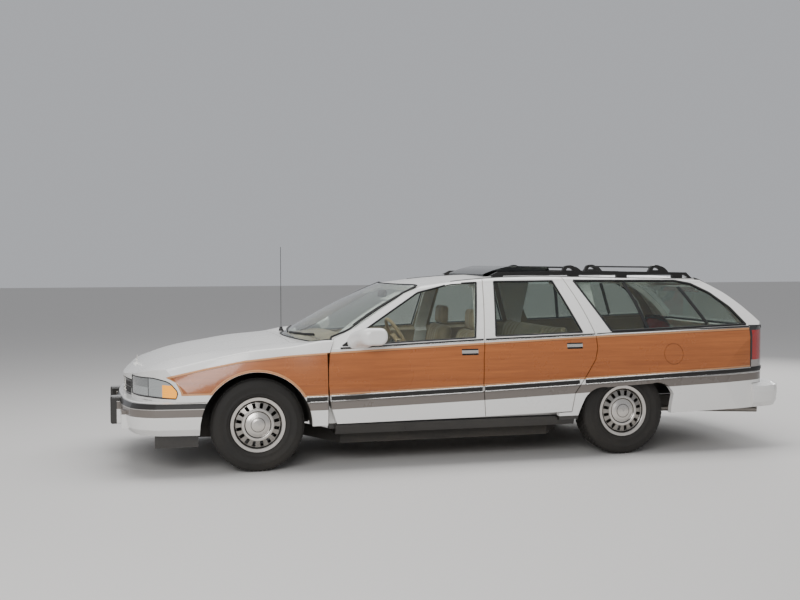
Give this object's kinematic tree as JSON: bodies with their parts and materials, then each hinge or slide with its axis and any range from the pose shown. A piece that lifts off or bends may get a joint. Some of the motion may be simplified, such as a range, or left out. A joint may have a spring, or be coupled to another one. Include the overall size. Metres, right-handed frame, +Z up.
{
  "type": "station wagon",
  "caption": "Full-size station wagon with wood-look sides, side doors, steered front wheels, lifting tail window, drop-down tailgate, hinged hood and roof rack.",
  "frame": {"origin": "on the ground, on the car's middle plane, midway between the two bumper faces", "axes": "+X towards the rear, +Y towards the car's right side, +Z up"},
  "size_m": [5.5303, 2.33, 1.6899],
  "materials": {
    "body_paint": "gloss",
    "chassis_black": "satin",
    "window_glass": "polished",
    "lamp_clear": "polished",
    "lamp_red": "gloss",
    "bumper_skin": "gloss",
    "black_plastic": "matt",
    "seal_rubber": "matt",
    "tyre_rubber": "matt",
    "wheel_alloy": "satin",
    "bright_trim": "polished",
    "seat_leather": "satin",
    "cabin_plastic": "matt",
    "iron": "matt",
    "steel": "satin"
  },
  "bodies": {
    "car_body": {"frame": "chassis_black", "floor_pan": "chassis_black", "engine_bay": "chassis_black", "door_frames": "chassis_black", "door_seals": "seal_rubber", "quarter_panels": "body_paint", "quarter_windows": "window_glass", "taillamps": "lamp_red", "roof_panel": "body_paint", "roof_window": "window_glass", "roof_rack": "black_plastic", "windshield": "window_glass", "cowl_panel": "body_paint", "front_fenders": "body_paint", "headlamps": "lamp_clear", "grille": "bright_trim", "front_bumper": "bumper_skin", "rear_bumper": "bumper_skin", "tailgate_opening": "chassis_black", "dashboard": "cabin_plastic", "steering_column": "cabin_plastic", "front_seats": "seat_leather", "rear_seat": "seat_leather", "engine": "iron", "driveline": "steel", "rear_axle": "iron", "fuel_tank": "steel", "exhaust": "steel", "front_suspension": "chassis_black", "antenna": "black_plastic"},
    "hood": {"hood": "body_paint"},
    "tailgate": {"tailgate": "body_paint"},
    "tailgate_window": {"tailgate_window": "window_glass"},
    "steering_wheel": {"steering_wheel": "cabin_plastic"},
    "knuckle_left": {"knuckle_left": "iron"},
    "knuckle_right": {"knuckle_right": "iron"},
    "front_door_left": {"door_front_left": "body_paint", "glass_front_left": "window_glass", "mirror_left": "bumper_skin"},
    "rear_door_left": {"door_rear_left": "body_paint", "glass_rear_left": "window_glass"},
    "wheel_front_left": {"tyre_front_left": "tyre_rubber", "rim_front_left": "wheel_alloy"},
    "wheel_rear_left": {"tyre_rear_left": "tyre_rubber", "rim_rear_left": "wheel_alloy"},
    "front_door_right": {"door_front_right": "body_paint", "glass_front_right": "window_glass", "mirror_right": "bumper_skin"},
    "rear_door_right": {"door_rear_right": "body_paint", "glass_rear_right": "window_glass"},
    "wheel_front_right": {"tyre_front_right": "tyre_rubber", "rim_front_right": "wheel_alloy"},
    "wheel_rear_right": {"tyre_rear_right": "tyre_rubber", "rim_rear_right": "wheel_alloy"}
  },
  "joints": [
    {"name": "hood_hinge", "type": "hinge", "parent": "car_body", "child": "hood", "pos_m": [-1.4345, 0, 0.955], "axis": [0, 1, 0], "range_deg": [0, 55]},
    {"name": "tailgate_hinge", "type": "hinge", "parent": "car_body", "child": "tailgate", "pos_m": [2.6255, 0, 0.556], "axis": [0, 1, 0], "range_deg": [0, 90]},
    {"name": "tailgate_window_hinge", "type": "hinge", "parent": "car_body", "child": "tailgate_window", "pos_m": [2.0035, 0, 1.412], "axis": [0, -1, 0], "range_deg": [0, 75]},
    {"name": "front_door_left_hinge", "type": "hinge", "parent": "car_body", "child": "front_door_left", "pos_m": [-1.1945, -0.993, 0.6], "axis": [0, 0, -1], "range_deg": [0, 68]},
    {"name": "rear_door_left_hinge", "type": "hinge", "parent": "car_body", "child": "rear_door_left", "pos_m": [0.0175, -1.003, 0.6], "axis": [0, 0, -1], "range_deg": [0, 68]},
    {"name": "steer_left", "type": "hinge", "parent": "car_body", "child": "knuckle_left", "pos_m": [-1.7045, -0.7, 0.35], "axis": [0, 0, 1], "range_deg": [-32, 32]},
    {"name": "spin_front_left", "type": "hinge", "parent": "knuckle_left", "child": "wheel_front_left", "pos_m": [-1.7045, -0.7875, 0.35], "axis": [0, 1, 0], "continuous": true},
    {"name": "spin_rear_left", "type": "hinge", "parent": "car_body", "child": "wheel_rear_left", "pos_m": [1.2395, -0.8145, 0.35], "axis": [0, 1, 0], "continuous": true},
    {"name": "front_door_right_hinge", "type": "hinge", "parent": "car_body", "child": "front_door_right", "pos_m": [-1.1945, 0.993, 0.6], "axis": [0, 0, 1], "range_deg": [0, 68]},
    {"name": "rear_door_right_hinge", "type": "hinge", "parent": "car_body", "child": "rear_door_right", "pos_m": [0.0175, 1.003, 0.6], "axis": [0, 0, 1], "range_deg": [0, 68]},
    {"name": "steer_right", "type": "hinge", "parent": "car_body", "child": "knuckle_right", "pos_m": [-1.7045, 0.7, 0.35], "axis": [0, 0, 1], "range_deg": [-32, 32]},
    {"name": "spin_front_right", "type": "hinge", "parent": "knuckle_right", "child": "wheel_front_right", "pos_m": [-1.7045, 0.7875, 0.35], "axis": [0, 1, 0], "continuous": true},
    {"name": "spin_rear_right", "type": "hinge", "parent": "car_body", "child": "wheel_rear_right", "pos_m": [1.2395, 0.8145, 0.35], "axis": [0, 1, 0], "continuous": true},
    {"name": "steering_wheel_turn", "type": "hinge", "parent": "car_body", "child": "steering_wheel", "pos_m": [-0.5045, -0.4, 0.925], "axis": [0.8829, 0, 0.4695], "range_deg": [-450, 450]}
  ],
  "couplings": [
    {"joint": "steer_right", "follows": "steer_left", "ratio": 1},
    {"joint": "steering_wheel_turn", "follows": "steer_left", "ratio": 14}
  ]
}
